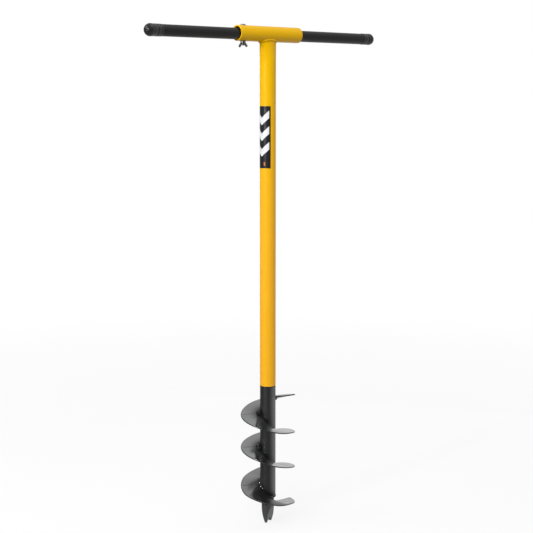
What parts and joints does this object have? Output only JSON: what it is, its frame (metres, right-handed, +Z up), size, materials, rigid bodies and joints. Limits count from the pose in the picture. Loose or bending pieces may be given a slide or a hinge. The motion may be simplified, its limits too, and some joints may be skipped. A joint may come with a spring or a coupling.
{
  "type": "hand earth auger",
  "caption": "T-handled hand earth auger: steel tube shaft, clamped cross bar with domed caps, left-hand helical flight and forked pilot bit.",
  "frame": {"origin": "on the shaft's axis at the lowest point of the pilot bit", "axes": "+Z up the shaft towards the handle, +X along the handle bar, with the clamp bolt on the -X side"},
  "size_m": [0.6376, 0.118, 1.0712],
  "materials": {
    "yellow_coat": "gloss",
    "bare_steel": "satin",
    "joint_line": "satin",
    "auger_black": "satin",
    "flight_grey": "satin",
    "weld_metal": "rough",
    "bit_steel": "satin",
    "bar_black": "satin",
    "cap_black": "satin",
    "label_film": "gloss",
    "zinc_bolt": "satin",
    "wing_zinc": "satin"
  },
  "bodies": {
    "auger": {"shaft_tube": "yellow_coat", "cross_tube": "yellow_coat", "head_weld": "yellow_coat", "joint_spigot": "bare_steel", "joint_weld": "joint_line", "auger_tube": "auger_black", "flight_top": "flight_grey", "flight_upper": "flight_grey", "flight_lower": "flight_grey", "flight_lip": "flight_grey", "seam_welds": "weld_metal", "root_welds": "weld_metal", "pilot_bit": "bit_steel", "bit_weld": "weld_metal", "handle_bar": "bar_black", "end_cap_left": "cap_black", "end_cap_right": "cap_black", "label": "label_film"},
    "clamp_bolt": {"clamp_bolt": "zinc_bolt"},
    "nut_washer": {"nut_washer": "zinc_bolt"},
    "wing_nut": {"wing_nut": "wing_zinc"}
  },
  "joints": [
    {"name": "clamp_bolt_lift", "type": "slide", "parent": "auger", "child": "clamp_bolt", "axis": [0, 0, 1], "range_m": [0, 0.041]},
    {"name": "nut_washer_drop", "type": "slide", "parent": "auger", "child": "nut_washer", "axis": [0, 0, -1], "range_m": [0, 0.008]},
    {"name": "wing_nut_turn", "type": "hinge", "parent": "nut_washer", "child": "wing_nut", "pos_m": [-0.069, 0, 1.0315], "axis": [0, 0, -1], "range_deg": [0, 2880]}
  ],
  "couplings": [
    {"joint": "nut_washer_drop", "follows": "wing_nut_turn", "m_per_rad": 0.00015915}
  ]
}
